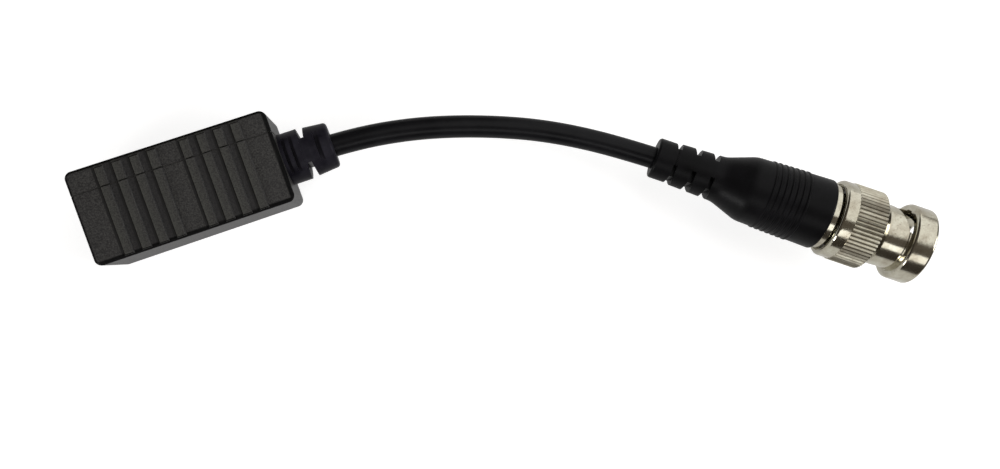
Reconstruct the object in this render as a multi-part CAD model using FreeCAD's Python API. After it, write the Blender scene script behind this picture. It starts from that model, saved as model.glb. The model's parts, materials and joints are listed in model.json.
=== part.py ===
import FreeCAD, Part
import math
import os

# CCTV video balun: a ribbed clamshell housing with a screw terminal block, a short coaxial pigtail
# and a bayonet video plug.
# Units are millimetres. The origin is the centre of the housing's resting face. X runs along the
# housing toward the pigtail, Y runs across it and Z points up, out of the ribbed face.

Vec = FreeCAD.Vector
X_AXIS = Vec(1, 0, 0)
Y_AXIS = Vec(0, 1, 0)
Z_AXIS = Vec(0, 0, 1)

# Housing
housing_length = 33.7
housing_width = 16.2
housing_height = 13.5
wall = 1.2
corner_radius = 1.2
edge_radius = 0.65
cavity_corner_radius = 0.5

# Parting line between base and cover, measured from the cover side
cover_depth = 4.05
seam_groove_width = 0.24
seam_groove_depth = 0.15
tongue_thickness = 0.55
tongue_height = 0.8
tongue_clearance = 0.05

# Grip ribs
rib_width = 1.65
rib_pitch = 2.88
rib_height = 0.35
rib_root = 1.0
rib_round = 0.2
rib_inset_base = 0.3
rib_inset_cover = 0.75
ribs_per_group = 4
rib_group_starts = (-11.9, 2.1)

# Cable and its layers: each layer is stripped back to its own depth behind the housing's end
cable_rise = 0.15
cable_y = -0.25
jacket_radius = 2.05
braid_radius = 1.5
dielectric_radius = 1.2
conductor_radius = 0.25
braid_end_depth = 3.8
dielectric_end_depth = 6.1
conductor_end_depth = 7.9
drain_radius = 0.26
drain_length = 3.0
drain_overlap = 0.4

# Corners of the cable route past the gland: distance from the housing's end, and Y
route_corners = (
    (9.3, -0.2),
    (22.1, -1.75),
    (34.9, -5.45),
    (47.5, -10.8),
    (60.97, -19.31),
)
arc_share = 0.45
last_run = 15.4

# Plug axis
plug_azimuth = -39.0
plug_elevation = 8.0
plug_start = 3.3

# Gland, places measured from the housing's end
gland_block_length = 3.4
gland_block_radius = 4.6
gland_collar_start = 4.7
gland_collar_end = 8.7
gland_collar_radius_in = 4.42
gland_collar_radius_out = 4.05
gland_edge_round = 0.6
gland_neck_radius = 3.4
gland_neck_fit = 0.05
gland_flange_thickness = 1.4
gland_web_half = 2.2
gland_notch_floor = 0.75
gland_slots = ((0.85, 0.58), (2.15, 0.58), (6.4, 0.8))
gland_slot_reach = 3.3
gland_tab_drop = 1.5
gland_tab_fit = 0.05

# Circuit board
board_thickness = 1.2
board_end_depth = 4.1
board_margin = 0.1
rail_width = 1.0
rail_end_depth = 4.5

# Terminal block, two ways side by side along Z
block_length = 7.6
block_side_gap = 0.5
block_top_margin = 0.05
block_edge_round = 0.4
wire_hole_radius = 1.0
screw_access_radius = 1.9
chamber_length = 4.6
chamber_side_wall = 0.575
chamber_floor = 0.9
chamber_roof = 0.4

# Wire clamp, lifted by its screw
clamp_side_gap = 0.15
clamp_plate = 0.9
clamp_side = 0.55
clamp_floor = 0.55
clamp_travel = 1.35
clamp_gap = 0.05
bar_gap = 0.1
screw_radius = 1.2
thread_fit = 0.04
screw_head_radius = 1.65
screw_head_height = 1.05
screw_slot_width = 0.5
screw_slot_depth = 0.6
screw_hole_fit = 0.06
screw_recess = 0.1

# Contact bar with solder tail
bar_thickness = 0.5
bar_side_gap = 0.1
tail_side = 0.9
tail_below_board = 1.4

# Balun core and windings
core_distance = 8.3
core_share = 0.63
core_bore_share = 0.543
core_height = 2.6
wire_share = 0.19
turns_per_winding = 8

# Small components on the board
component_gap = 0.35
lead_radius = 0.25
resistor_radius = 0.9
resistor_length = 4.0
suppressor_radius = 1.1
suppressor_length = 3.6
component_round_share = 0.33
lead_reach = 1.1
lead_below_board = 0.8
capacitor_end_depth = 8.0
capacitor_radius = 2.0
capacitor_thickness = 1.5
capacitor_round_share = 0.8
capacitor_lift = 0.4
capacitor_lead_spacing = 2.0
solder_radius = 0.95
solder_length = 1.5
solder_advance = 0.3

# Plug boot, places along the plug axis
boot_collar_radius = 3.8
boot_segment_start = 3.8
boot_segment_radius_in = 3.95
boot_segment_radius_out = 4.3
boot_cone_start = 12.7
boot_cone_end = 18.0
boot_cone_radius = 6.2
boot_cone_round = 5.0
boot_end = 32.7
boot_end_radius = 6.67
boot_edge_round = 0.45
boot_notches = ((3.8, 1.35), (7.35, 1.55), (10.8, 1.45))
boot_notch_floor_share = 0.5
boot_web_half = 2.3
boot_under_web = 2.9
boot_pit_reach = 2.5
boot_pit_start = 0.9
grip_start = 21.3
grip_pitch = 1.05
grip_count = 7
grip_height = 0.16
grip_width = 0.45

# Ferrule and plug body
ferrule_start = 12.2
ferrule_radius = 2.3
body_start = 23.5
body_neck_radius = 5.0
body_collar_radius = 6.15
body_collar_length = 1.1
body_collar_round = 0.2
flange_radius = 5.9
flange_thickness = 1.2
washer_room = 0.95
sleeve_length = 8.0
sleeve_outer_radius = 4.05
sleeve_inner_radius = 3.55
sleeve_slot_width = 0.5
sleeve_slot_length = 5.2
sleeve_slot_count = 4
body_bore_start = 31.0
gasket_seat_radius = 4.3
gasket_fit = 0.03
gasket_outer_radius = 4.8
gasket_thickness = 1.0
gasket_seat_rim = 0.05
insulator_length = 2.0
insulator_nose_radius = 2.3
insulator_nose_length = 1.5
pin_radius = 0.675
pin_length = 4.0
pin_tip_share = 0.8
pin_barrel_radius = 1.05
pin_barrel_start = 31.6
dielectric_plug_end = 31.0
conductor_plug_end = 33.4

# Wave washer and retaining ring
ring_start = 35.5
ring_thickness = 0.6
ring_inner_radius = 5.15
ring_outer_radius = 6.3
ring_opening = 1.6
washer_inner_radius = 5.15
washer_outer_radius = 5.75
washer_thickness = 0.25
washer_wave = 0.3
washer_points = 24
washer_waves = 3

# Coupling nut
nut_start = 34.0
nut_rear_round = 0.65
nut_rear_bore_radius = 6.45
nut_rear_bore_length = 0.9
nut_shoulder_end = 36.4
nut_radius = 7.42
knurl_end = 41.65
knurl_teeth = 60
knurl_depth = 0.3
nut_chamfer_end = 42.9
nut_sleeve_radius = 5.75
step_start = 46.7
step_radius = 6.0
bead_start = 47.1
bead_radius = 7.17
bead_round = 0.7
bead_front_round = 0.5
nut_end = 51.1
nut_cavity_radius = 6.1
ring_groove_radius = 6.4
ring_groove_fit = 0.05
nut_shoulder_gap = 0.08
nut_bore_radius = 4.9
mouth_chamfer = 0.5
slot_width = 2.3
slot_turn = 12.0
detent_place = 45.2
ramp_end_place = 47.6
ramp_turn = 62.0
slot_steps = 8
entry_groove_radius = 5.75

# How far cutting shapes run past the faces they cut
cut_margin = 1.0

half_length = housing_length / 2
half_width = housing_width / 2
seam_y = half_width - cover_depth
cavity_x = half_length - wall
cavity_y = half_width - wall
cavity_top = housing_height - wall
cavity_height = cavity_top - wall
cable_z = housing_height / 2 + cable_rise
board_top_y = cable_y - dielectric_radius
board_bottom_y = board_top_y - board_thickness
flange_inner_x = cavity_x - gland_flange_thickness

# Places of the terminal block and its pieces
block_start_x = -cavity_x
block_end_x = block_start_x + block_length
block_x = block_start_x + block_length / 2
block_height = cavity_height - 2 * block_side_gap
block_z = wall + cavity_height / 2
block_top_y = cavity_y - block_top_margin
way_pitch = block_height / 2
way_places = (block_z - way_pitch / 2, block_z + way_pitch / 2)
chamber_width = way_pitch - 2 * chamber_side_wall
clamp_width = chamber_width - 2 * clamp_side_gap
clamp_length = chamber_length - 2 * clamp_side_gap
bar_width = clamp_width - 2 * clamp_side - 2 * bar_side_gap
chamber_bottom_y = board_top_y + chamber_floor
clamp_rest_y = chamber_bottom_y + clamp_gap
screw_ledge_y = block_top_y - screw_recess - screw_head_height
chamber_top_y = screw_ledge_y - chamber_roof
clamp_height = chamber_top_y - clamp_gap - clamp_travel - clamp_rest_y
clamp_plate_y = clamp_rest_y + clamp_height - clamp_plate
bar_top_y = clamp_plate_y - bar_gap
wire_hole_y = (clamp_rest_y + clamp_floor + bar_top_y - bar_thickness) / 2
clamp_x0 = block_x - clamp_length / 2
clamp_x1 = block_x + clamp_length / 2

# Places of the pieces on the board
core_x = block_end_x + core_distance
core_outer_radius = core_share * cavity_height / 2
core_inner_radius = core_bore_share * core_outer_radius
wire_side = wire_share * core_inner_radius
lead_inset = rail_width + component_gap + lead_radius
lead_end = lead_reach + lead_radius + component_gap
resistor_place = (block_end_x + lead_end + resistor_length / 2, wall + lead_inset)
suppressor_place = (block_end_x + lead_end + suppressor_length / 2, cavity_top - lead_inset)
capacitor_place = (half_length - capacitor_end_depth, cavity_top - lead_inset)
braid_inner_end_x = half_length - braid_end_depth
dielectric_inner_end_x = half_length - dielectric_end_depth
conductor_inner_end_x = half_length - conductor_end_depth

# Places along the plug axis that follow from the retaining ring
ring_end = ring_start + ring_thickness
flange_start = ring_end + washer_room
flange_end = flange_start + flange_thickness
gasket_end = flange_end + gasket_thickness
sleeve_end = flange_end + sleeve_length
insulator_end = flange_end + insulator_length
insulator_nose_end = insulator_end + insulator_nose_length
pin_tip_end = insulator_nose_end + pin_length

# Cable route: it starts inside the gland and its last run lies inside the plug boot
route_points = [(flange_inner_x, cable_y, cable_z)]
route_points += [(half_length + ahead, across, cable_z) for ahead, across in route_corners]


def box(x0, x1, y0, y1, z0, z1):
    return Part.makeBox(x1 - x0, y1 - y0, z1 - z0, Vec(x0, y0, z0))


def rod(radius, start, end):
    start = Vec(*start)
    run = Vec(*end) - start
    return Part.makeCylinder(radius, run.Length, start, run)


def turned(profile):
    """Solid of revolution about X from (place, radius) corners, closed along the axis."""
    corners = [Vec(profile[0][0], 0, 0)]
    corners += [Vec(place, radius, 0) for place, radius in profile]
    corners += [Vec(profile[-1][0], 0, 0), corners[0]]
    corners = [c for i, c in enumerate(corners) if i == 0 or (c - corners[i - 1]).Length > 1e-6]
    face = Part.Face(Part.makePolygon(corners))
    return face.revolve(Vec(0, 0, 0), X_AXIS, 360)


def ring(inner, outer, start, end):
    return rod(outer, (start, 0, 0), (end, 0, 0)).cut(rod(inner, (start, 0, 0), (end, 0, 0)))


def edges_along(shape, axis):
    found = []
    for edge in shape.Edges:
        if isinstance(edge.Curve, Part.Line) and abs(edge.Curve.Direction.dot(axis)) > 0.999:
            found.append(edge)
    return found


def circles_at(shape, places, tolerance=1e-4):
    """Circular edges about the X axis whose plane is at one of the given places."""
    found = []
    for edge in shape.Edges:
        if isinstance(edge.Curve, Part.Circle) and abs(abs(edge.Curve.Axis.x) - 1) < 1e-6:
            if any(abs(edge.Curve.Center.x - place) < tolerance for place in places):
                found.append(edge)
    return found


def outer_circles_at(shape, places, least_radius):
    return [edge for edge in circles_at(shape, places) if edge.Curve.Radius > least_radius]


# Plug frame: local X is the plug axis, local Y lies level and local Z points up
azimuth = math.radians(plug_azimuth)
elevation = math.radians(plug_elevation)
plug_axis = Vec(
    math.cos(elevation) * math.cos(azimuth),
    math.cos(elevation) * math.sin(azimuth),
    math.sin(elevation),
)
plug_side = Z_AXIS.cross(plug_axis).normalize()
plug_up = plug_axis.cross(plug_side)
last_corner = Vec(*route_points[-1])
plug_origin = last_corner + plug_axis * plug_start
plug_matrix = FreeCAD.Matrix(
    plug_axis.x, plug_side.x, plug_up.x, plug_origin.x,
    plug_axis.y, plug_side.y, plug_up.y, plug_origin.y,
    plug_axis.z, plug_side.z, plug_up.z, plug_origin.z,
    0, 0, 0, 1,
)
plug_placement = FreeCAD.Placement(plug_matrix)


def on_plug(shape):
    placed = shape.copy()
    placed.Placement = plug_placement.multiply(placed.Placement)
    return placed


def rounded_route(points):
    """Straight runs joined by tangent arcs, and the radius of each arc."""
    edges = []
    radii = []
    start = points[0]
    for before, corner, after in zip(points, points[1:], points[2:]):
        back = (before - corner).normalize()
        ahead = (after - corner).normalize()
        half_turn = (math.pi - back.getAngle(ahead)) / 2
        reach = arc_share * min((before - corner).Length, (after - corner).Length)
        radius = reach / math.tan(half_turn)
        bisector = (back + ahead).normalize()
        middle = corner + bisector * (radius / math.cos(half_turn) - radius)
        entry = corner + back * reach
        leaving = corner + ahead * reach
        edges.append(Part.LineSegment(start, entry).toShape())
        edges.append(Part.Arc(entry, middle, leaving).toShape())
        radii.append(radius)
        start = leaving
    edges.append(Part.LineSegment(start, points[-1]).toShape())
    return Part.Wire(edges), radii


def swept(points, radius):
    spine, _ = rounded_route(points)
    section = Part.Wire(Part.Circle(points[0], points[1] - points[0], radius).toShape())
    return spine.makePipeShell([section], True, True)


def cable_points(inner_end_x, plug_end):
    """Route of one cable layer from its end in the housing to its end in the plug."""
    points = [Vec(*point) for point in route_points]
    points[0] = Vec(inner_end_x, points[0].y, points[0].z)
    return points + [plug_origin + plug_axis * plug_end]


jacket_plug_end = last_run - plug_start
jacket_points = cable_points(flange_inner_x, jacket_plug_end)
jacket_core = swept(jacket_points, jacket_radius)
jacket_wire, jacket_radii = rounded_route(jacket_points)


def cable_bore(inner_end_x, plug_end, radius):
    """Cutting shape for the bore of a cable layer, run past both of its ends."""
    return swept(cable_points(inner_end_x - cut_margin, plug_end + cut_margin), radius)


def cable_layers():
    jacket = jacket_core.cut(cable_bore(flange_inner_x, jacket_plug_end, braid_radius))
    braid = swept(cable_points(braid_inner_end_x, body_start), braid_radius)
    braid = braid.cut(cable_bore(braid_inner_end_x, body_start, dielectric_radius))
    drain_y = board_top_y + drain_radius
    drain_z = cable_z + dielectric_radius
    drain_end = braid_inner_end_x + drain_overlap
    drain = rod(drain_radius, (drain_end - drain_length, drain_y, drain_z), (drain_end, drain_y, drain_z))
    dielectric = swept(cable_points(dielectric_inner_end_x, dielectric_plug_end), dielectric_radius)
    dielectric = dielectric.cut(cable_bore(dielectric_inner_end_x, dielectric_plug_end, conductor_radius))
    return {
        "cable_jacket": jacket,
        "cable_braid": braid.fuse(drain.cut(dielectric)).removeSplitter(),
        "cable_dielectric": dielectric,
        "centre_conductor": swept(cable_points(conductor_inner_end_x, conductor_plug_end), conductor_radius),
    }


def housing_block():
    block = box(-half_length, half_length, -half_width, half_width, 0, housing_height)
    block = block.makeFillet(corner_radius, edges_along(block, Z_AXIS))
    rims = [e for e in block.Edges if abs(e.BoundBox.ZLength) < 1e-6]
    return block.makeFillet(edge_radius, rims)


def grip_ribs():
    top = housing_height + rib_height
    near_end = -half_width + rib_inset_base
    far_end = half_width - rib_inset_cover
    ribs = []
    for start in rib_group_starts:
        for number in range(ribs_per_group):
            left = start + number * rib_pitch
            rib = box(left, left + rib_width, near_end, far_end, housing_height - rib_root, top)
            crest = [e for e in rib.Edges if e.BoundBox.ZMin > top - 1e-6]
            ribs.append(rib.makeFillet(rib_round, crest))
    return ribs


def cavity(grow=0.0):
    hollow = box(
        -cavity_x - grow, cavity_x + grow,
        -cavity_y - grow, cavity_y + grow,
        wall - grow, cavity_top + grow,
    )
    return hollow.makeFillet(cavity_corner_radius + grow, edges_along(hollow, Z_AXIS))


def seam_groove():
    far = housing_length
    slab = box(
        -far, far,
        seam_y - seam_groove_width / 2, seam_y + seam_groove_width / 2,
        -far, far,
    )
    inside = box(
        -half_length + seam_groove_depth, half_length - seam_groove_depth,
        -far, far,
        seam_groove_depth, housing_height - seam_groove_depth,
    )
    return slab.cut(inside)


def gland_neck(extra):
    axis_start = (cavity_x - wall, cable_y, cable_z)
    axis_end = (half_length + wall, cable_y, cable_z)
    return rod(gland_neck_radius + extra, axis_start, axis_end)


def gland_tab(extra):
    """Part of the cover that closes the base's notch above the gland."""
    low = cable_y + gland_neck_radius - gland_tab_drop - extra
    side = gland_neck_radius - gland_tab_fit + extra
    return box(cavity_x, half_length, low, seam_y, cable_z - side, cable_z + side)


def housing():
    shell = housing_block().fuse(grip_ribs()).cut(cavity()).cut(seam_groove()).removeSplitter()
    far = housing_length
    below = box(-far, far, -far, seam_y, -far, far)
    base = shell.common(below)
    cover = shell.cut(below)

    tongue_band = box(-far, far, seam_y - wall, seam_y + tongue_height, -far, far)
    tongue = cavity(tongue_thickness).common(tongue_band).cut(cavity())
    tongue = tongue.cut(box(-far, far, -far, seam_y - tongue_height, -far, far))
    rebate_band = box(-far, far, seam_y - wall, seam_y + tongue_height + tongue_clearance, -far, far)
    rebate = cavity(tongue_thickness + tongue_clearance).common(rebate_band)
    base = base.fuse(tongue)
    cover = cover.cut(rebate)

    rail_end_x = half_length - rail_end_depth
    base = base.fuse([
        box(-cavity_x, rail_end_x, -cavity_y, board_bottom_y, wall, wall + rail_width),
        box(-cavity_x, rail_end_x, -cavity_y, board_bottom_y, cavity_top - rail_width, cavity_top),
    ])

    notch_side = gland_neck_radius + gland_neck_fit
    notch = box(
        cavity_x - wall / 2, half_length + wall,
        cable_y, seam_y + tongue_height + wall,
        cable_z - notch_side, cable_z + notch_side,
    )
    base = base.cut(gland_neck(gland_neck_fit)).cut(notch)
    cover = cover.fuse(gland_tab(0)).cut(gland_neck(gland_neck_fit))

    for z in way_places:
        base = base.cut(rod(wire_hole_radius, (-far, wire_hole_y, z), (-cavity_x + wall, wire_hole_y, z)))
        cover = cover.cut(rod(screw_access_radius, (block_x, 0, z), (block_x, far, z)))
    return base.removeSplitter(), cover.removeSplitter()


def in_cavity_corner(bounds):
    """True for the block's edge that lies in the rounded corner of the housing's cavity."""
    return bounds.XMax < block_start_x + block_edge_round and bounds.YMin > block_top_y - block_edge_round


def terminal_block():
    block = box(
        block_start_x, block_end_x,
        board_top_y, block_top_y,
        block_z - block_height / 2, block_z + block_height / 2,
    )
    block = block.makeFillet(block_edge_round, edges_along(block, Y_AXIS))
    corner = [e for e in edges_along(block, Z_AXIS) if in_cavity_corner(e.BoundBox)]
    block = block.makeFillet(cavity_corner_radius, corner)
    for z in way_places:
        chamber = box(
            block_x - chamber_length / 2, block_x + chamber_length / 2,
            chamber_bottom_y, chamber_top_y,
            z - chamber_width / 2, z + chamber_width / 2,
        )
        entry = rod(wire_hole_radius, (block_start_x - wall, wire_hole_y, z), (block_x, wire_hole_y, z))
        mouth = (block_x, block_top_y, z)
        shaft_hole = rod(screw_radius + screw_hole_fit, (block_x, chamber_top_y, z), mouth)
        head_hole = rod(screw_head_radius + screw_hole_fit, (block_x, screw_ledge_y, z), mouth)
        block = block.cut([chamber, entry, shaft_hole, head_hole, contact_bar(z)])
    return block


def contact_bar(z):
    """Fixed bar that runs through the clamp's window, above the wire, with its solder tail."""
    front = block_x + chamber_length / 2
    back = front + bar_thickness
    plate = box(
        clamp_x0, back,
        bar_top_y - bar_thickness, bar_top_y,
        z - bar_width / 2, z + bar_width / 2,
    )
    leg = box(front, back, board_top_y, bar_top_y, z - bar_width / 2, z + bar_width / 2)
    tail = box(
        front, back,
        board_bottom_y - tail_below_board, board_top_y,
        z - tail_side / 2, z + tail_side / 2,
    )
    return plate.fuse([leg, tail]).removeSplitter()


def wire_clamp(z):
    """Open rectangular cage: the wire lies inside it, below the contact bar."""
    low = clamp_rest_y
    cage = box(clamp_x0, clamp_x1, low, low + clamp_height, z - clamp_width / 2, z + clamp_width / 2)
    window = box(
        clamp_x0 - cut_margin, clamp_x1 + cut_margin,
        low + clamp_floor, low + clamp_height - clamp_plate,
        z - clamp_width / 2 + clamp_side, z + clamp_width / 2 - clamp_side,
    )
    thread = rod(screw_radius + thread_fit, (block_x, low, z), (block_x, low + 2 * clamp_height, z))
    return cage.cut(window).cut(thread)


def terminal_screw(z):
    shaft = rod(screw_radius, (block_x, clamp_plate_y, z), (block_x, screw_ledge_y, z))
    head_top = screw_ledge_y + screw_head_height
    head = rod(screw_head_radius, (block_x, screw_ledge_y, z), (block_x, head_top, z))
    head_reach = screw_head_radius + cut_margin
    slot = box(
        block_x - head_reach, block_x + head_reach,
        head_top - screw_slot_depth, head_top + cut_margin,
        z - screw_slot_width / 2, z + screw_slot_width / 2,
    )
    return shaft.fuse(head).cut(slot).removeSplitter()


def circuit_board():
    board = box(
        -cavity_x + board_margin, half_length - board_end_depth,
        board_bottom_y, board_top_y,
        wall + board_margin, cavity_top - board_margin,
    )
    holes = [contact_bar(z) for z in way_places]
    holes += component_leads(resistor_place, resistor_radius, resistor_length)
    holes += component_leads(suppressor_place, suppressor_radius, suppressor_length)
    holes += capacitor_leads()
    return board.cut(holes)


def component_leads(place, radius, length):
    x, z = place
    body_y = board_top_y + radius
    foot_y = board_bottom_y - lead_below_board
    leads = []
    for side in (-1, 1):
        foot_x = x + side * (length / 2 + lead_reach)
        leads.append(rod(lead_radius, (x, body_y, z), (foot_x + side * lead_radius, body_y, z)))
        leads.append(rod(lead_radius, (foot_x, foot_y, z), (foot_x, body_y, z)))
    return leads


def axial_component(place, radius, length):
    x, z = place
    body_y = board_top_y + radius
    body = rod(radius, (x - length / 2, body_y, z), (x + length / 2, body_y, z))
    rims = [e for e in body.Edges if isinstance(e.Curve, Part.Circle)]
    body = body.makeFillet(component_round_share * radius, rims)
    return body.fuse(component_leads(place, radius, length)).removeSplitter()


def capacitor_leads():
    x, z = capacitor_place
    top_y = board_top_y + capacitor_lift + capacitor_radius
    foot_y = board_bottom_y - lead_below_board
    leads = []
    for side in (-1, 1):
        lead_x = x + side * capacitor_lead_spacing / 2
        leads.append(rod(lead_radius, (lead_x, foot_y, z), (lead_x, top_y, z)))
    return leads


def filter_capacitor():
    x, z = capacitor_place
    body_y = board_top_y + capacitor_lift + capacitor_radius
    half = capacitor_thickness / 2
    disc = rod(capacitor_radius, (x, body_y, z - half), (x, body_y, z + half))
    rims = [e for e in disc.Edges if isinstance(e.Curve, Part.Circle)]
    disc = disc.makeFillet(capacitor_round_share * half, rims)
    return disc.fuse(capacitor_leads()).removeSplitter()


def balun_core():
    start = (core_x, board_top_y + wire_side, cable_z)
    end = (core_x, board_top_y + wire_side + core_height, cable_z)
    return rod(core_outer_radius, start, end).cut(rod(core_inner_radius, start, end))


def winding(phase):
    """Square-section turns laid over the core; the lower side of each turn rests on the board."""
    core = balun_core()
    low = board_top_y
    high = board_top_y + core_height + 2 * wire_side
    turns = []
    for number in range(turns_per_winding):
        turn = box(
            core_x + core_inner_radius - wire_side, core_x + core_outer_radius + wire_side,
            low, high,
            cable_z - wire_side / 2, cable_z + wire_side / 2,
        )
        angle = (number + phase) * 360 / turns_per_winding
        turn.rotate(Vec(core_x, 0, cable_z), Y_AXIS, angle)
        turns.append(turn.cut(core))
    return Part.makeCompound(turns)


def cable_solder():
    start_x = conductor_inner_end_x + solder_advance - solder_length / 2
    end_x = start_x + solder_length
    mound = rod(solder_radius, (start_x, board_top_y, cable_z), (end_x, board_top_y, cable_z))
    half = 2 * conductor_radius
    pillar = box(start_x, end_x, board_top_y, cable_y + half, cable_z - half, cable_z + half)
    reach = 2 * solder_radius
    above = box(
        start_x - cut_margin, end_x + cut_margin,
        board_top_y, board_top_y + reach,
        cable_z - reach, cable_z + reach,
    )
    return mound.fuse(pillar).common(above).removeSplitter()


def notch_pair(place, half, floor, web, rim, far):
    """Two tapered notches on opposite sides, wide at the rim and narrow at the web between them."""
    notches = []
    for side in (-1, 1):
        corners = [
            Vec(place - floor, side * web, -far),
            Vec(place + floor, side * web, -far),
            Vec(place + half, side * rim, -far),
            Vec(place + half, side * far, -far),
            Vec(place - half, side * far, -far),
            Vec(place - half, side * rim, -far),
        ]
        outline = Part.makePolygon(corners + corners[:1])
        notches.append(Part.Face(outline).extrude(Vec(0, 0, 2 * far)))
    return notches


def cable_gland():
    collar_start = half_length + gland_collar_start
    collar_end = half_length + gland_collar_end
    block_end = half_length + gland_block_length
    block = turned((
        (flange_inner_x, gland_block_radius),
        (cavity_x, gland_block_radius),
        (cavity_x, gland_neck_radius),
        (half_length, gland_neck_radius),
        (half_length, gland_block_radius),
        (block_end, gland_block_radius),
        (block_end, gland_collar_radius_in),
        (collar_start, gland_collar_radius_in),
        (collar_end, gland_collar_radius_out),
    ))
    block = block.makeFillet(gland_edge_round, outer_circles_at(block, (collar_end,), jacket_radius))
    far = 3 * gland_block_radius
    half = (collar_start - block_end) / 2
    floor = gland_notch_floor / 2
    block = block.cut(notch_pair(block_end + half, half, floor, gland_web_half, gland_block_radius, far))
    for place, width in gland_slots:
        start = half_length + place - width / 2
        for side in (-1, 1):
            low, high = sorted((side * gland_slot_reach, side * far))
            block = block.cut(box(start, start + width, -far, far, low, high))
    block.translate(Vec(0, cable_y, cable_z))
    return block.cut(jacket_core).removeSplitter()


def plug_boot():
    boot = turned((
        (0, boot_collar_radius),
        (boot_segment_start, boot_collar_radius),
        (boot_segment_start, boot_segment_radius_in),
        (boot_cone_start, boot_segment_radius_out),
        (boot_cone_end, boot_cone_radius),
        (boot_end, boot_end_radius),
    ))
    boot = boot.makeFillet(boot_edge_round, outer_circles_at(boot, (0, boot_end), jacket_radius))
    boot = boot.makeFillet(boot_cone_round, circles_at(boot, (boot_cone_start, boot_cone_end)))
    far = 3 * boot_cone_radius
    for place, width in boot_notches:
        half = width / 2
        floor = half * boot_notch_floor_share
        upper, _ = reversed(notch_pair(place, half, floor, boot_web_half, boot_segment_radius_out, far))
        lower, _ = notch_pair(place, half, floor, boot_under_web, boot_segment_radius_out, far)
        boot = boot.cut([upper, lower])
        for side in (-1, 1):
            low, high = sorted((side * boot_pit_reach, side * far))
            boot = boot.cut(box(place - floor, place + floor, -far, -boot_pit_start, low, high))
    for number in range(grip_count):
        place = grip_start + number * grip_pitch
        share = (place - boot_cone_end) / (boot_end - boot_cone_end)
        radius = boot_cone_radius + share * (boot_end_radius - boot_cone_radius)
        crest = grip_width / 4
        ridge = turned((
            (place - grip_width, radius - grip_height),
            (place - crest, radius + grip_height),
            (place + crest, radius + grip_height),
            (place + grip_width, radius - grip_height),
        ))
        boot = boot.fuse(ridge)
    inside = rod(ferrule_radius, (ferrule_start, 0, 0), (body_start, 0, 0))
    inside = inside.fuse(rod(body_neck_radius, (body_start, 0, 0), (boot_end + cut_margin, 0, 0)))
    boot = on_plug(boot.cut(inside).removeSplitter())
    return boot.cut(jacket_core).cut(swept(cable_points(braid_inner_end_x, body_start), braid_radius))


def crimp_ferrule():
    return ring(braid_radius, ferrule_radius, ferrule_start, body_start)


def plug_body():
    """Turned metal body: neck inside the boot, collar behind the nut, flange, and slotted contact sleeve."""
    collar_end = boot_end + body_collar_length
    seat_end = gasket_end + gasket_seat_rim
    body = turned((
        (body_start, body_neck_radius),
        (boot_end, body_neck_radius),
        (boot_end, body_collar_radius),
        (collar_end, body_collar_radius),
        (collar_end, body_neck_radius),
        (flange_start, body_neck_radius),
        (flange_start, flange_radius),
        (flange_end, flange_radius),
        (flange_end, gasket_seat_radius),
        (seat_end, gasket_seat_radius),
        (seat_end, sleeve_outer_radius),
        (sleeve_end, sleeve_outer_radius),
    ))
    collar_edges = outer_circles_at(body, (collar_end,), body_neck_radius + wall / 2)
    body = body.makeFillet(body_collar_round, collar_edges)
    body = body.cut([
        rod(dielectric_radius, (body_start - cut_margin, 0, 0), (body_bore_start, 0, 0)),
        rod(sleeve_inner_radius, (body_bore_start, 0, 0), (sleeve_end + cut_margin, 0, 0)),
    ])
    reach = 2 * sleeve_outer_radius
    half = sleeve_slot_width / 2
    cuts = sleeve_slot_count // 2
    for number in range(cuts):
        cut = box(sleeve_end - sleeve_slot_length, sleeve_end + cut_margin, -reach, reach, -half, half)
        cut.rotate(Vec(0, 0, 0), X_AXIS, (number + 0.5) * 180 / cuts)
        body = body.cut(cut)
    return body


def plug_insulator():
    insulator = turned((
        (body_bore_start, sleeve_inner_radius),
        (insulator_end, sleeve_inner_radius),
        (insulator_end, insulator_nose_radius),
        (insulator_nose_end, insulator_nose_radius),
    ))
    start = body_bore_start - cut_margin
    return insulator.cut(rod(pin_barrel_radius, (start, 0, 0), (insulator_nose_end + cut_margin, 0, 0)))


def centre_pin():
    """Crimped barrel inside the insulator, with the thinner contact pin in front of it."""
    pin = turned((
        (pin_barrel_start, pin_barrel_radius),
        (insulator_nose_end, pin_barrel_radius),
        (insulator_nose_end, pin_radius),
        (pin_tip_end, pin_radius),
    ))
    pin = pin.makeFillet(pin_tip_share * pin_radius, circles_at(pin, (pin_tip_end,)))
    return pin.cut(rod(conductor_radius, (pin_barrel_start - cut_margin, 0, 0), (conductor_plug_end, 0, 0)))


def wave_washer():
    """Springy washer: a wavy ring between two closed curves, given its thickness along the axis."""
    middle = (ring_end + flange_start - washer_thickness) / 2
    rims = []
    for radius in (washer_inner_radius, washer_outer_radius):
        points = []
        for number in range(washer_points):
            turn = 2 * math.pi * number / washer_points
            lift = washer_wave * math.sin(washer_waves * turn)
            points.append(Vec(middle + lift, radius * math.cos(turn), radius * math.sin(turn)))
        curve = Part.BSplineCurve()
        curve.interpolate(Points=points, PeriodicFlag=True)
        rims.append(curve.toShape())
    return Part.makeRuledSurface(rims[0], rims[1]).extrude(Vec(washer_thickness, 0, 0))


def retaining_ring():
    band = ring(ring_inner_radius, ring_outer_radius, ring_start, ring_end)
    opening = box(
        ring_start - cut_margin, ring_end + cut_margin,
        -ring_opening / 2, ring_opening / 2,
        0, 2 * ring_outer_radius,
    )
    return band.cut(opening)


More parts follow.
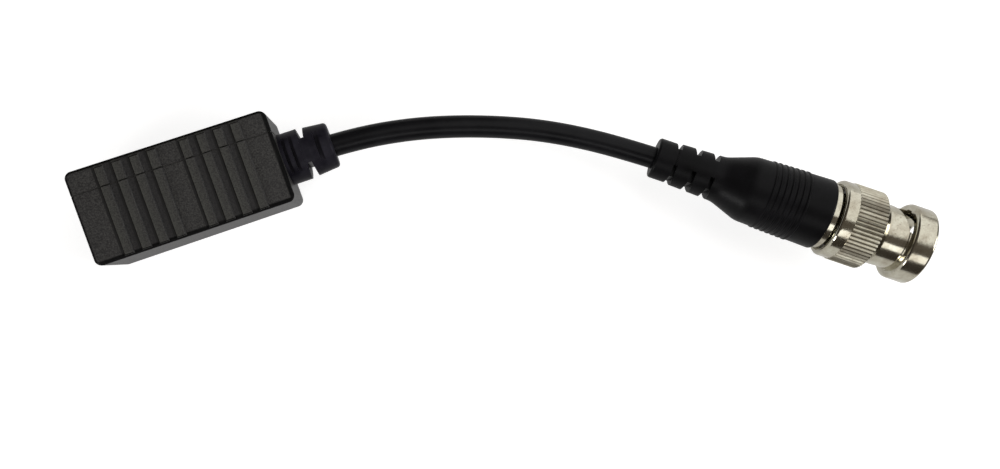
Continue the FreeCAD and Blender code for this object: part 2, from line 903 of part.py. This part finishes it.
def bayonet_slot(start_angle):
    """Round detent hole, ramp through the sleeve wall and entry groove inside the bead."""
    inner = nut_bore_radius - cut_margin
    outer = entry_groove_radius + cut_margin
    rise = ramp_end_place - detent_place
    half = slot_width / 2
    pieces = []
    for number in range(slot_steps + 1):
        share = number / slot_steps
        turn = start_angle + share * ramp_turn
        place = detent_place + share * rise
        hole = rod(half, (place, inner, 0), (place, outer, 0))
        hole.rotate(Vec(0, 0, 0), X_AXIS, turn)
        pieces.append(hole)
        if number == slot_steps:
            break
        step_turn = ramp_turn / slot_steps
        chord = nut_sleeve_radius * math.radians(step_turn)
        advance = rise / slot_steps
        run = math.hypot(chord, advance)
        link = box(-half, half, inner, outer, 0, run)
        link.rotate(Vec(0, 0, 0), Y_AXIS, math.degrees(math.atan2(advance, chord)))
        link.translate(Vec(place, 0, 0))
        link.rotate(Vec(0, 0, 0), X_AXIS, turn)
        pieces.append(link)
    groove = box(ramp_end_place, nut_end + cut_margin, 0, entry_groove_radius, -half, half)
    groove.rotate(Vec(0, 0, 0), X_AXIS, start_angle + ramp_turn)
    sleeve_band = rod(outer, (knurl_end, 0, 0), (bead_start, 0, 0))
    bead_band = rod(entry_groove_radius, (bead_start, 0, 0), (nut_end + cut_margin, 0, 0))
    slot = pieces[0].fuse(pieces[1:]).common(sleeve_band.fuse(bead_band))
    return slot.fuse(groove)


def knurled_band():
    """Straight knurl: a toothed outline drawn round the axis and extruded along it."""
    corners = []
    for number in range(2 * knurl_teeth + 1):
        turn = math.pi * number / knurl_teeth
        radius = nut_radius if number % 2 == 0 else nut_radius - knurl_depth
        corners.append(Vec(nut_shoulder_end, radius * math.cos(turn), radius * math.sin(turn)))
    outline = Part.Face(Part.makePolygon(corners))
    return outline.extrude(Vec(knurl_end - nut_shoulder_end, 0, 0))


def coupling_nut():
    rear_radius = nut_radius - knurl_depth / 2
    rear = rod(rear_radius, (nut_start, 0, 0), (nut_shoulder_end, 0, 0))
    rear = rear.makeFillet(nut_rear_round, circles_at(rear, (nut_start,)))
    front = turned((
        (knurl_end, rear_radius),
        (nut_chamfer_end, nut_sleeve_radius),
        (step_start, nut_sleeve_radius),
        (step_start, step_radius),
        (bead_start, step_radius),
        (bead_start, bead_radius),
        (nut_end, bead_radius),
    ))
    front = front.makeFillet(bead_round, outer_circles_at(front, (bead_start,), step_radius))
    front = front.makeFillet(bead_front_round, outer_circles_at(front, (nut_end,), step_radius))
    nut = rear.fuse([knurled_band(), front])
    rear_bore_end = nut_start + nut_rear_bore_length
    cavity_end = flange_end + nut_shoulder_gap
    bore = turned((
        (nut_start - cut_margin, nut_rear_bore_radius),
        (rear_bore_end, nut_rear_bore_radius),
        (rear_bore_end, nut_cavity_radius),
        (ring_start - ring_groove_fit, nut_cavity_radius),
        (ring_start - ring_groove_fit, ring_groove_radius),
        (ring_end + ring_groove_fit, ring_groove_radius),
        (ring_end + ring_groove_fit, nut_cavity_radius),
        (cavity_end, nut_cavity_radius),
        (cavity_end, nut_bore_radius),
        (nut_end - mouth_chamfer, nut_bore_radius),
        (nut_end, nut_bore_radius + mouth_chamfer),
        (nut_end + cut_margin, nut_bore_radius + mouth_chamfer),
    ))
    return nut.cut(bore).cut([bayonet_slot(slot_turn), bayonet_slot(slot_turn + 180)])


def face_gasket():
    return ring(gasket_seat_radius + gasket_fit, gasket_outer_radius, flange_end, gasket_end)


nodes = {}
nodes["housing_base"], nodes["housing_cover"] = housing()
nodes["circuit_board"] = circuit_board()
nodes["terminal_block"] = terminal_block()
for way, way_z in enumerate(way_places, start=1):
    nodes["contact_bar_%d" % way] = contact_bar(way_z)
    nodes["wire_clamp_%d" % way] = wire_clamp(way_z)
    nodes["terminal_screw_%d" % way] = terminal_screw(way_z)
nodes["balun_core"] = balun_core()
nodes["signal_winding"] = winding(0.0)
nodes["return_winding"] = winding(0.5)
nodes["matching_resistor"] = axial_component(resistor_place, resistor_radius, resistor_length)
nodes["surge_suppressor"] = axial_component(suppressor_place, suppressor_radius, suppressor_length)
nodes["filter_capacitor"] = filter_capacitor()
nodes.update(cable_layers())
nodes["cable_solder"] = cable_solder().cut(nodes["centre_conductor"])
nodes["cable_gland"] = cable_gland()
nodes["plug_boot"] = plug_boot()
nodes["crimp_ferrule"] = on_plug(crimp_ferrule())
nodes["plug_body"] = on_plug(plug_body())
nodes["plug_insulator"] = on_plug(plug_insulator())
nodes["centre_pin"] = on_plug(centre_pin())
nodes["face_gasket"] = on_plug(face_gasket())
nodes["wave_washer"] = on_plug(wave_washer())
nodes["retaining_ring"] = on_plug(retaining_ring())
nodes["coupling_nut"] = on_plug(coupling_nut())

os.makedirs("parts", exist_ok=True)
for name, shape in nodes.items():
    shape.exportStep("parts/%s.step" % name)
    print(name, "solids", len(shape.Solids), "volume", round(shape.Volume, 3), "valid", shape.isValid())

print("arc radii", [round(radius, 1) for radius in jacket_radii])
expected_volume = math.pi * jacket_radius ** 2 * jacket_wire.Length
print("cable length", round(jacket_wire.Length, 2))
print("swept volume", round(jacket_core.Volume, 2), "expected", round(expected_volume, 2))
print("plug origin", plug_origin, "axis", plug_axis)
print("sleeve", gasket_end + gasket_seat_rim, sleeve_end, "pin", insulator_nose_end, pin_tip_end)
print("wire holes", block_start_x, wire_hole_y, way_places, "screws", block_x, clamp_plate_y)
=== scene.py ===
import bpy
import json
import math
from mathutils import Matrix, Vector


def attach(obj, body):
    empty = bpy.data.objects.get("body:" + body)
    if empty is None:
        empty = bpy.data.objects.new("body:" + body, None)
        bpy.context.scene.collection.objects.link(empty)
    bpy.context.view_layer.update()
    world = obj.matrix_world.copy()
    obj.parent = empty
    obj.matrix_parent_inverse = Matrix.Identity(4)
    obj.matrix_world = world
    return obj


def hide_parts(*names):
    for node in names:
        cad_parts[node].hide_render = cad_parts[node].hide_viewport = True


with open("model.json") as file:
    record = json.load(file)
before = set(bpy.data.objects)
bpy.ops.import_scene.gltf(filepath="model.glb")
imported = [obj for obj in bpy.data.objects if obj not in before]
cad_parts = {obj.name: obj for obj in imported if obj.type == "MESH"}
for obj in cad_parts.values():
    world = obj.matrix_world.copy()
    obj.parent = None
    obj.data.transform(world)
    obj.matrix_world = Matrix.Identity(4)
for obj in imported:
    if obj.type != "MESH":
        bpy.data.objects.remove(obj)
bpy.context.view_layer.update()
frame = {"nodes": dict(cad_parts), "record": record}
nodes = frame["nodes"]
scene = bpy.context.scene
MM = 0.001

# Camera: its place, the way it looks and its lens, worked out from the housing's edges in the photo
camera_place = Vector((0.030148, -0.022152, 0.148607))
camera_ahead = Vector((0.12729, -0.02209, -0.99162))
camera_up = Vector((0.33391, 0.94235, 0.02187))
focal_share = 0.785
sensor_width = 36.0
nearest_seen = 0.005
farthest_seen = 10.0

# Cable route, the same points as in the part's source, in millimetres
route_points = (
    (14.25, -0.25, 6.9),
    (26.15, -0.2, 6.9),
    (38.95, -1.75, 6.9),
    (51.75, -5.45, 6.9),
    (64.35, -10.8, 6.9),
    (77.82, -19.31, 6.9),
)
last_run = 15.4
plug_azimuth = math.radians(-39.0)
plug_elevation = math.radians(8.0)
plug_start = 3.3
jacket_diameter = 4.1 * MM
steps_round = 8
steps_along = 16
plug_axis = Vector((
    math.cos(plug_elevation) * math.cos(plug_azimuth),
    math.cos(plug_elevation) * math.sin(plug_azimuth),
    math.sin(plug_elevation),
))
plug_origin = (Vector(route_points[-1]) + plug_axis * plug_start) * MM


def make_camera():
    data = bpy.data.cameras.new("photo_camera")
    data.sensor_width = sensor_width
    data.lens = focal_share * sensor_width
    data.clip_start = nearest_seen
    data.clip_end = farthest_seen
    camera = bpy.data.objects.new("photo_camera", data)
    scene.collection.objects.link(camera)
    back = -camera_ahead.normalized()
    right = camera_up.cross(back).normalized()
    up = back.cross(right)
    turn = Matrix((right, up, back)).transposed().to_4x4()
    camera.matrix_world = Matrix.Translation(camera_place) @ turn
    scene.camera = camera


def make_cable():
    """The pigtail: one open spline, whose bevel of 1 m is scaled by each point's radius."""
    data = bpy.data.curves.new("pigtail_cable", "CURVE")
    data.dimensions = "3D"
    data.bevel_depth = 1.0
    data.bevel_resolution = steps_round
    data.resolution_u = steps_along
    data.use_fill_caps = True
    points = [Vector(point) * MM for point in route_points]
    points.append(plug_origin + plug_axis * (last_run - plug_start) * MM)
    spline = data.splines.new("NURBS")
    spline.points.add(len(points) - 1)
    for control, point in zip(spline.points, points):
        control.co = (*point, 1.0)
        control.radius = jacket_diameter / 2
    spline.order_u = 3
    spline.use_endpoint_u = True
    cable = bpy.data.objects.new("pigtail_cable", data)
    scene.collection.objects.link(cable)
    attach(cable, "balun")
    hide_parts("cable_jacket")
    return cable


make_camera()
cable = make_cable()


# Materials. Places on the housing in metres: ribs run along Y, and each starts at its left foot in X
top_height = 0.0134
rib_foot_height = 0.01352
rib_starts = (-0.0119, 0.0021)
rib_pitch = 0.00288
rib_count = 4
# Width of the painted shadow at the left foot of each rib
foot_shadow_width = 0.0004
seam_place = 0.00405
seam_half_width = 0.00014
near_rim = (-0.00755, -0.0073)
plug_rim = (0.01605, 0.0163)

# Wear on the rib crests and painted shade in the valleys, as shares of the pitch from a rib's left foot
crest_fade = (0.15, 0.6)
valley_fade = (0.5, 0.7)

# How strongly each mark covers what lies under it: cloudy tone, painted shade in the valleys and on the
# edges, the painted shadow at the ribs' feet and the seam's dust
cloud_strength = 0.4
valley_shade_strength = 0.58
edge_shade_strength = 0.92
foot_shadow_strength = 0.85
seam_strength = 0.1

# What the right edge of a rib loses of its painted edge shade, and what a side wall loses of its roughness
right_edge_relief = -0.85
side_wall_polish = -0.12

# The normal's upward share, from 0 on a wall to 1 on the top: where the painted edge shade starts near
# either, and what counts as a wall or as facing up; then the normal's least share in X on the right of a rib
edge_near_wall = (0.04, 0.2)
edge_near_top = (0.93, 0.998)
wall_limit = 0.1
upward_limit = 0.2
facing_right = 0.05

# Knurl, in metres along the plug's axis from its origin, and out from that axis
knurl_span = (0.0364, 0.0418)
groove_radii = (0.00714, 0.00727)
knurl_roughness = 0.22

# Colours as linear red, green and blue
grain_dark = (0.002, 0.002, 0.0018, 1)
grain_light = (0.054, 0.0528, 0.049, 1)
purple_cloud = (0.023, 0.0212, 0.0246, 1)
# colour of the painted shade in the valleys between the ribs
painted_valley_shade = (0.009, 0.0085, 0.0105, 1)
crest_rub = (0.054, 0.0545, 0.046, 1)
# black for the painted shade on the edges and the painted shadow at the ribs' feet
painted_shade_black = (0.002, 0.002, 0.002, 1)
seam_dust = (0.05, 0.049, 0.046, 1)
nickel_stained = (0.37, 0.335, 0.26, 1)
nickel_clean = (0.55, 0.53, 0.435, 1)
nickel_pit = (0.24, 0.2, 0.15, 1)
# darker colour towards the bottom of the knurl's grooves
knurl_groove_dark = (0.07, 0.055, 0.04, 1)


def grey(value, warm=0.0):
    return (value * (1 + warm), value, value * (1 - warm), 1.0)


def new_node(tree, kind, **settings):
    made = tree.nodes.new(kind)
    for name, value in settings.items():
        setattr(made, name, value)
    return made


def set_stops(ramp, stops):
    """Gives a colour ramp its stops: the first two that it has already, and any further ones."""
    for element, (place, colour) in zip(ramp.elements, stops):
        element.position = place
        element.color = colour
    for place, colour in stops[2:]:
        ramp.elements.new(place).color = colour


class Shader:
    """A material with its Principled shader, and short calls for the nodes used here."""

    def __init__(self, name, **settings):
        self.material = bpy.data.materials.new(name)
        self.material.use_nodes = True
        self.tree = self.material.node_tree
        self.surface = self.tree.nodes["Principled BSDF"]
        for setting, value in settings.items():
            self.surface.inputs[setting.replace("_", " ")].default_value = value
        texture_place = self.node("ShaderNodeTexCoord")
        self.coordinates = texture_place.outputs["Object"]
        self.normal = texture_place.outputs["Normal"]

    def node(self, kind, **settings):
        return new_node(self.tree, kind, **settings)

    def link(self, source, target):
        self.tree.links.new(source, target)

    def noise(self, scale, detail=2.0, roughness=0.5, coordinates=None):
        made = self.node("ShaderNodeTexNoise")
        made.inputs["Scale"].default_value = scale
        made.inputs["Detail"].default_value = detail
        made.inputs["Roughness"].default_value = roughness
        self.link(coordinates or self.coordinates, made.inputs["Vector"])
        return made.outputs["Fac"]

    def ramp(self, factor, *stops):
        made = self.node("ShaderNodeValToRGB")
        set_stops(made.color_ramp, stops)
        self.link(factor, made.inputs["Fac"])
        return made.outputs["Color"]

    def spread(self, factor, low, high, between=(0.0, 1.0)):
        """Goes from low to high while the factor crosses the range between two values."""
        made = self.node("ShaderNodeMapRange")
        made.inputs["From Min"].default_value, made.inputs["From Max"].default_value = between
        made.inputs["To Min"].default_value = low
        made.inputs["To Max"].default_value = high
        self.link(factor, made.inputs["Value"])
        return made.outputs["Result"]

    def bump(self, height, distance, strength=1.0, normal=None):
        made = self.node("ShaderNodeBump")
        made.inputs["Distance"].default_value = distance
        made.inputs["Strength"].default_value = strength
        self.link(height, made.inputs["Height"])
        if normal is not None:
            self.link(normal, made.inputs["Normal"])
        return made.outputs["Normal"]

    def mix(self, factor, first, second):
        """Two colours mixed: the first is a socket, and the second a plain colour."""
        made = self.node("ShaderNodeMix", data_type="RGBA")
        self.link(factor, made.inputs["Factor"])
        self.link(first, made.inputs["A"])
        made.inputs["B"].default_value = second
        return made.outputs["Result"]

    def maths(self, operation, *values):
        """One step of arithmetic on sockets or plain numbers."""
        made = self.node("ShaderNodeMath", operation=operation)
        for socket, value in zip(made.inputs, values):
            if isinstance(value, float):
                socket.default_value = value
            else:
                self.link(value, socket)
        return made.outputs["Value"]

    def times(self, first, second):
        return self.maths("MULTIPLY", first, second)

    def above(self, value, limit):
        return self.maths("GREATER_THAN", value, limit)

    def below(self, value, limit):
        return self.maths("LESS_THAN", value, limit)

    def vector_maths(self, operation, first, second=(0.0, 0.0, 0.0), output="Vector"):
        """One step of vector arithmetic between a socket and a plain vector."""
        made = self.node("ShaderNodeVectorMath", operation=operation)
        self.link(first, made.inputs[0])
        made.inputs[1].default_value = tuple(second)
        return made.outputs[output]

    def part_of(self, vector, letter):
        made = self.node("ShaderNodeSeparateXYZ")
        self.link(vector, made.inputs["Vector"])
        return made.outputs[letter]

    def lines_across(self, place, scale):
        """Fine lines at right angles to the axis along which the place is measured."""
        along = self.node("ShaderNodeCombineXYZ")
        self.link(place, along.inputs["X"])
        return self.noise(scale, coordinates=along.outputs["Vector"])

    def finish(self, colour, roughness, normal):
        self.link(colour, self.surface.inputs["Base Color"])
        self.link(roughness, self.surface.inputs["Roughness"])
        self.link(normal, self.surface.inputs["Normal"])
        return self.material


def speckled(name, dark, light, grain, rough, grain_depth=0.00001, **settings):
    """Moulded, lacquered or woven surface: cloudy colour, fine grain and a slightly uneven sheen."""
    shader = Shader(name, **settings)
    clouds = shader.noise(scale=90.0, detail=4.0, roughness=0.6)
    colour = shader.ramp(clouds, (0.3, dark), (0.7, light))
    fine = shader.noise(grain, detail=3.0, roughness=0.6)
    sheen = shader.spread(shader.noise(scale=270.0, detail=3.0), *rough)
    return shader.finish(colour, sheen, shader.bump(fine, grain_depth))


def crest_wear_and_rib_shade(shader, on_top):
    """Paler worn crests, painted shade in the valleys and a painted shadow at the left foot of each rib,
    each from 0 to 1.
    """
    across = shader.part_of(shader.coordinates, "X")
    foot_shadow_share = foot_shadow_width / rib_pitch
    last_step = rib_count - 1 + crest_fade[1]
    wear_and_shade = []
    for start in rib_starts:
        steps = shader.maths("DIVIDE", shader.maths("SUBTRACT", across, start), rib_pitch)
        phase = shader.maths("FRACT", steps)
        among_ribs = shader.times(shader.above(steps, -foot_shadow_share), shader.below(steps, last_step))
        group = shader.times(among_ribs, on_top)
        crest = shader.times(group, shader.spread(phase, 1.0, 0.0, crest_fade))
        # The valley gets painted shade that deepens towards the next rib, and the foot a painted shadow at
        # that rib's left foot
        valley_shade = shader.times(group, shader.spread(phase, 0.0, 1.0, valley_fade))
        foot_shadow = shader.times(group, shader.above(phase, 1.0 - foot_shadow_share))
        wear_and_shade.append((crest, valley_shade, foot_shadow))
    return [shader.maths("ADD", first, second) for first, second in zip(*wear_and_shade)]


def painted_edge_shade(shader, height, rise, clouds):
    """How much painted shade a place gets as a dark edge, from 0 to 1, standing in for the dark room that
    edges reflect.

    These are the rounded edges, but hardly the right ones of the ribs, and a band beside the ribs, along the
    near rim and the rim at the gland.
    """
    near_wall = shader.spread(rise, 0.0, 1.0, edge_near_wall)
    near_top = shader.spread(rise, 1.0, 0.0, edge_near_top)
    tilted = shader.times(near_wall, near_top)
    on_rib = shader.above(height, rib_foot_height)
    on_right = shader.above(shader.part_of(shader.normal, "X"), facing_right)
    faded = shader.times(shader.times(on_rib, on_right), right_edge_relief)
    rounded = shader.maths("MULTIPLY_ADD", tilted, faded, tilted)
    by_near_rim = shader.spread(shader.part_of(shader.coordinates, "Y"), 1.0, 0.0, near_rim)
    by_plug_rim = shader.spread(shader.part_of(shader.coordinates, "X"), 0.0, 1.0, plug_rim)
    upward = shader.above(rise, upward_limit)
    beside_ribs = shader.times(upward, shader.maths("SUBTRACT", 1.0, on_rib))
    band = shader.times(shader.maths("MAXIMUM", by_near_rim, by_plug_rim), beside_ribs)
    uneven = shader.times(band, shader.spread(clouds, low=0.8, high=1.0, between=(0.3, 0.5)))
    return shader.maths("MAXIMUM", rounded, uneven)


def housing_plastic():
    """Spark-eroded black moulding: grain, edges and valleys darkened by painted shade, paler worn rib crests
    and a painted shadow at their feet.
    """
    shader = Shader("moulded_black")
    grain_range = (0.36, 0.66)
    clouds = shader.noise(scale=120.0, detail=3.0, roughness=0.6)
    grain = shader.noise(scale=4200.0, detail=3.0, roughness=0.7)
    height = shader.part_of(shader.coordinates, "Z")
    rise = shader.part_of(shader.normal, "Z")

    base = shader.ramp(grain, (0.38, grain_dark), (0.64, grain_light))
    colour = shader.mix(shader.spread(clouds, 0.0, cloud_strength), base, purple_cloud)
    crest, valley_shade, foot_shadow = crest_wear_and_rib_shade(shader, on_top=shader.above(height, top_height))
    # painted shade in the valleys between the ribs
    colour = shader.mix(shader.times(valley_shade, valley_shade_strength), colour, painted_valley_shade)
    worn_clouds = shader.spread(clouds, low=0.55, high=0.95)
    worn = shader.times(worn_clouds, shader.spread(grain, low=0.35, high=1.0, between=grain_range))
    colour = shader.mix(shader.times(crest, worn), colour, crest_rub)
    # painted shade on the rounded edges and by the rims: their dark reflection of the room, painted into the
    # colour
    edge_shade = painted_edge_shade(shader, height, rise, clouds)
    colour = shader.mix(shader.times(edge_shade, edge_shade_strength), colour, painted_shade_black)
    # painted shadow at the left foot of each rib
    colour = shader.mix(shader.times(foot_shadow, foot_shadow_strength), colour, painted_shade_black)
    seam = shader.maths("COMPARE", shader.part_of(shader.coordinates, "Y"), seam_place, seam_half_width)
    colour = shader.mix(shader.times(seam, seam_strength), colour, seam_dust)

    shine = shader.spread(edge_shade, low=0.5, high=0.05)
    shader.link(shine, shader.surface.inputs["Specular IOR Level"])
    on_side = shader.below(rise, wall_limit)
    rough = shader.maths("MULTIPLY_ADD", on_side, side_wall_polish, shader.spread(grain, low=0.5, high=0.66))
    fine = shader.bump(shader.noise(scale=5200.0, roughness=0.6), distance=0.000025)
    return shader.finish(colour, rough, shader.bump(grain, distance=0.00003, strength=0.8, normal=fine))


def soft_vinyl(name, dark, light, roughness, shine):
    """Soft black vinyl with a faint skin texture and a few dull, dusty patches."""
    shader = Shader(name, Specular_IOR_Level=shine)
    patches = shader.noise(scale=170.0, detail=5.0, roughness=0.65)
    colour = shader.ramp(patches, (0.35, dark), (0.75, light))
    unevenness = 0.08
    rough = shader.spread(patches, roughness - unevenness, roughness + unevenness)
    skin = shader.bump(shader.noise(scale=900.0, detail=3.0), distance=0.00002, strength=0.6)
    pores = shader.noise(scale=4200.0)
    return shader.finish(colour, rough, shader.bump(pores, distance=0.000008, strength=0.8, normal=skin))


def brushed(name, dark, light, axis, rough):
    """Turned or drawn metal: streaks at right angles to the axis, faint stains and uneven polish."""
    shader = Shader(name, Metallic=1.0)
    place = shader.vector_maths("DOT_PRODUCT", shader.coordinates, axis, output="Value")
    streaks = shader.lines_across(place, scale=9000.0)
    clouds = shader.noise(scale=260.0, detail=5.0, roughness=0.6)
    colour = shader.ramp(clouds, (0.3, dark), (0.7, light))
    return shader.finish(colour, shader.spread(clouds, *rough), shader.bump(streaks, distance=0.000004))


def nickel_plating(axis):
    """Warm nickel plate over turned brass: turning marks, small dents, stains and darker knurl grooves."""
    shader = Shader("nickel_plate", Metallic=1.0)
    from_origin = shader.vector_maths("SUBTRACT", shader.coordinates, plug_origin)
    place = shader.vector_maths("DOT_PRODUCT", from_origin, axis, output="Value")
    turning = shader.lines_across(place, scale=7000.0)
    out_from_axis = shader.vector_maths("CROSS_PRODUCT", from_origin, axis)
    radius = shader.vector_maths("LENGTH", out_from_axis, output="Value")
    knurled = shader.times(shader.above(place, knurl_span[0]), shader.below(place, knurl_span[1]))
    # darker towards the bottom of the knurl's grooves
    groove_darkening = shader.times(knurled, shader.spread(radius, low=0.9, high=0.0, between=groove_radii))

    stains = shader.noise(scale=420.0, detail=6.0, roughness=0.7)
    specks = shader.noise(scale=2600.0, roughness=0.6)
    colour = shader.ramp(stains, (0.32, nickel_stained), (0.62, nickel_clean))
    colour = shader.mix(shader.spread(specks, 0.0, 1.0, between=(0.63, 0.75)), colour, nickel_pit)
    colour = shader.mix(groove_darkening, colour, knurl_groove_dark)
    polish = shader.spread(stains, low=0.22, high=0.09)
    rough = shader.maths("MULTIPLY_ADD", knurled, knurl_roughness, polish)
    dents = shader.bump(shader.noise(scale=650.0, detail=3.0), distance=0.00003, strength=0.7)
    return shader.finish(colour, rough, shader.bump(turning, distance=0.0000025, normal=dents))


def make_materials():
    """Every material by the name of its slot; the vinyls of boot and gland share one slot in the frame."""
    along_x = (1, 0, 0)
    along_y = (0, 1, 0)
    return {
        "black_plastic": housing_plastic(),
        "cable_black": soft_vinyl(
            "cable_vinyl", (0.005, 0.005, 0.006, 1), (0.0105, 0.0105, 0.012, 1), roughness=0.3, shine=0.11,
        ),
        "boot_vinyl": soft_vinyl(
            "boot_vinyl", (0.0035, 0.0035, 0.0038, 1), (0.0075, 0.0073, 0.0085, 1),
            roughness=0.38, shine=0.08,
        ),
        "gland_vinyl": soft_vinyl(
            "gland_vinyl", (0.006, 0.0054, 0.009, 1), (0.034, 0.0325, 0.042, 1), roughness=0.36, shine=0.06,
        ),
        "board": speckled(
            "green_board", (0.02, 0.12, 0.05, 1), (0.03, 0.17, 0.07, 1), grain=1500.0, rough=(0.25, 0.4),
        ),
        "tinned": brushed("tinned_metal", grey(0.6), grey(0.75), along_x, rough=(0.25, 0.4)),
        "plated_steel": brushed(
            "plated_steel", grey(0.5, 0.03), grey(0.64, 0.03), along_y, rough=(0.25, 0.4),
        ),
        "ferrite": speckled(
            "ferrite_black", grey(0.02), grey(0.045), grain=2600.0, rough=(0.55, 0.7), grain_depth=0.00003,
        ),
        "copper_red": speckled(
            "enamel_red", (0.35, 0.05, 0.02, 1), (0.45, 0.09, 0.03, 1), grain=3000.0, rough=(0.2, 0.3),
        ),
        "copper_green": speckled(
            "enamel_green", (0.06, 0.2, 0.05, 1), (0.1, 0.28, 0.08, 1), grain=3000.0, rough=(0.2, 0.3),
        ),
        "component": speckled(
            "resistor_lacquer", (0.4, 0.5, 0.55, 1), (0.5, 0.58, 0.62, 1), grain=1500.0, rough=(0.3, 0.4),
        ),
        "component_dark": speckled(
            "suppressor_moulding", grey(0.02), grey(0.03), grain=1500.0, rough=(0.35, 0.5),
        ),
        "component_blue": speckled(
            "capacitor_lacquer", (0.03, 0.1, 0.3, 1), (0.05, 0.15, 0.4, 1), grain=1500.0, rough=(0.25, 0.35),
        ),
        "braid_metal": speckled(
            "braid_metal", grey(0.45), grey(0.65), grain=4000.0, rough=(0.3, 0.45), grain_depth=0.00006,
            Metallic=1.0,
        ),
        "white_plastic": speckled(
            "natural_white", grey(0.66, 0.02), grey(0.76, 0.02), grain=900.0, rough=(0.35, 0.5),
        ),
        "copper": brushed(
            "drawn_copper", (0.6, 0.25, 0.12, 1), (0.75, 0.36, 0.2, 1), plug_axis, rough=(0.2, 0.35),
        ),
        "nickel": nickel_plating(plug_axis),
        "gold_brass": brushed(
            "gold_flash", (0.65, 0.45, 0.16, 1), (0.8, 0.58, 0.24, 1), plug_axis, rough=(0.18, 0.3),
        ),
        "silicone": speckled(
            "gasket_silicone", (0.3, 0.1, 0.07, 1), (0.4, 0.14, 0.1, 1), grain=1500.0, rough=(0.4, 0.5),
        ),
        "spring_steel": brushed(
            "spring_steel", grey(0.42, 0.02), grey(0.56, 0.02), plug_axis, rough=(0.25, 0.35),
        ),
    }


materials = make_materials()
moulded_vinyl = {"cable_gland": "gland_vinyl", "plug_boot": "boot_vinyl"}
for part in frame["record"]["subparts"]:
    target = nodes[part["node"]]
    target.data.materials.clear()
    target.data.materials.append(materials[moulded_vinyl.get(part["node"], part["material_slot"])])
cable.data.materials.append(materials["cable_black"])


# Studio, in metres and watts
floor_half = 1.5
floor_tone = 0.5
floor_glow = (("Is Camera Ray", 0.78), ("Is Glossy Ray", 0.36), ("Is Transmission Ray", 0.36))
room_low = 0.05
room_high = 0.12
room_warmth = 0.16
lamp_aim = Vector((0.06, -0.025, 0.01))
lamp_distance = 0.5
lamps = (
    dict(name="key_softbox", toward=(0.572, 0.435, 0.697), width=0.4, height=0.956, power=1.42),
    dict(name="fill_softbox", toward=(-0.277, -0.607, 0.746), width=0.4, height=0.17, power=0.42),
    dict(name="relief_lamp", toward=(0.75, -0.3, 0.55), width=0.22, height=0.22, power=1.1),
    dict(name="sheen_lamp", toward=(-0.89, -0.376, 0.25), width=0.15, height=0.1, power=0.9),
)


def light_path_sum(tree, weights):
    """Adds up light path outputs, each times its weight."""
    rays = new_node(tree, "ShaderNodeLightPath")
    total = None
    for name, weight in weights:
        part = new_node(tree, "ShaderNodeMath", operation="MULTIPLY")
        part.inputs[1].default_value = weight
        tree.links.new(rays.outputs[name], part.inputs[0])
        if total is not None:
            both = new_node(tree, "ShaderNodeMath", operation="ADD")
            tree.links.new(total, both.inputs[0])
            tree.links.new(part.outputs["Value"], both.inputs[1])
            part = both
        total = part.outputs["Value"]
    return total


def make_floor():
    """White floor that keeps the object's shadow, and that looks dimmer in metal than to the camera."""
    data = bpy.data.meshes.new("floor")
    corners = [(x * floor_half, y * floor_half, 0) for x, y in ((-1, -1), (1, -1), (1, 1), (-1, 1))]
    data.from_pydata(corners, [], [(0, 1, 2, 3)])
    floor = bpy.data.objects.new("floor", data)
    scene.collection.objects.link(floor)
    material = bpy.data.materials.new("floor_white")
    material.use_nodes = True
    tree = material.node_tree
    tree.nodes.remove(tree.nodes["Principled BSDF"])
    paper = new_node(tree, "ShaderNodeBsdfDiffuse")
    paper.inputs["Color"].default_value = grey(floor_tone)
    glow = new_node(tree, "ShaderNodeEmission")
    tree.links.new(light_path_sum(tree, floor_glow), glow.inputs["Strength"])
    both = new_node(tree, "ShaderNodeAddShader")
    tree.links.new(paper.outputs["BSDF"], both.inputs[0])
    tree.links.new(glow.outputs["Emission"], both.inputs[1])
    tree.links.new(both.outputs["Shader"], tree.nodes["Material Output"].inputs["Surface"])
    data.materials.append(material)


def make_world():
    """Dim and slightly warm studio room, lighter overhead, that the camera sees as white."""
    world = bpy.data.worlds.new("studio")
    scene.world = world
    world.use_nodes = True
    tree = world.node_tree
    room = tree.nodes["Background"]
    place = new_node(tree, "ShaderNodeTexCoord")
    split = new_node(tree, "ShaderNodeSeparateXYZ")
    tree.links.new(place.outputs["Generated"], split.inputs["Vector"])
    levels = new_node(tree, "ShaderNodeValToRGB")
    low = grey(room_low, room_warmth)
    high = grey(room_high, room_warmth)
    set_stops(levels.color_ramp, ((0.0, low), (1.0, high), (0.4, low)))
    tree.links.new(split.outputs["Z"], levels.inputs["Fac"])
    tree.links.new(levels.outputs["Color"], room.inputs["Color"])
    white = new_node(tree, "ShaderNodeBackground")
    white.inputs["Color"].default_value = grey(1.0)
    rays = new_node(tree, "ShaderNodeLightPath")
    pick = new_node(tree, "ShaderNodeMixShader")
    tree.links.new(rays.outputs["Is Camera Ray"], pick.inputs["Fac"])
    tree.links.new(room.outputs["Background"], pick.inputs[1])
    tree.links.new(white.outputs["Background"], pick.inputs[2])
    tree.links.new(pick.outputs["Shader"], tree.nodes["World Output"].inputs["Surface"])


def make_lamp(name, toward, width, height, power):
    """Softbox that faces the aim from a given direction, its width along the plug and its height across."""
    data = bpy.data.lights.new(name, "AREA")
    data.shape = "RECTANGLE"
    data.size = width
    data.size_y = height
    data.energy = power
    lamp = bpy.data.objects.new(name, data)
    back = Vector(toward).normalized()
    side = (plug_axis - back * plug_axis.dot(back)).normalized()
    turn = Matrix((side, back.cross(side), back)).transposed().to_4x4()
    lamp.matrix_world = Matrix.Translation(lamp_aim + back * lamp_distance) @ turn
    scene.collection.objects.link(lamp)


make_floor()
make_world()
for lamp in lamps:
    make_lamp(**lamp)

scene.view_settings.view_transform = "Standard"
